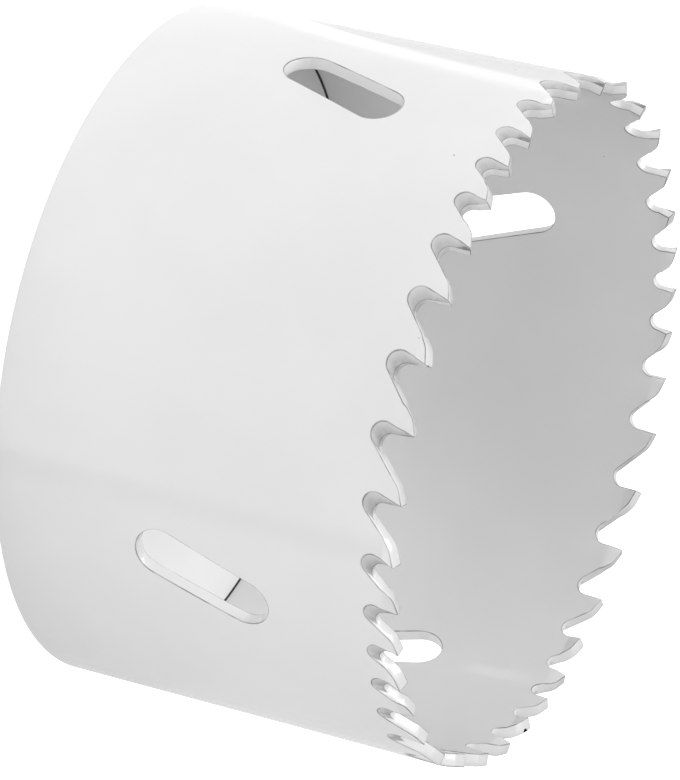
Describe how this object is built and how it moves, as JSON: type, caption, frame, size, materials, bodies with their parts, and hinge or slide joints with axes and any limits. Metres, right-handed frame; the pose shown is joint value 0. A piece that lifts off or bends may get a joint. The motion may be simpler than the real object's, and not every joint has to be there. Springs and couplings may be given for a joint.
{
  "type": "hole saw",
  "caption": "Bi-metal hole saw: a round toothed cup with slanted side slots and a threaded end plate for an arbor.",
  "frame": {"origin": "centre of the end plate's outer face, on the cup's axis", "axes": "+Z along the cup's axis from the closed end towards the teeth, +X through the middle of a side slot"},
  "size_m": [0.0684, 0.0684, 0.0415],
  "materials": {
    "shell_enamel": "glossy white enamel",
    "plate_enamel": "glossy white enamel"
  },
  "bodies": {
    "root": {"toothed_shell": "shell_enamel", "end_plate": "plate_enamel"}
  },
  "joints": []
}
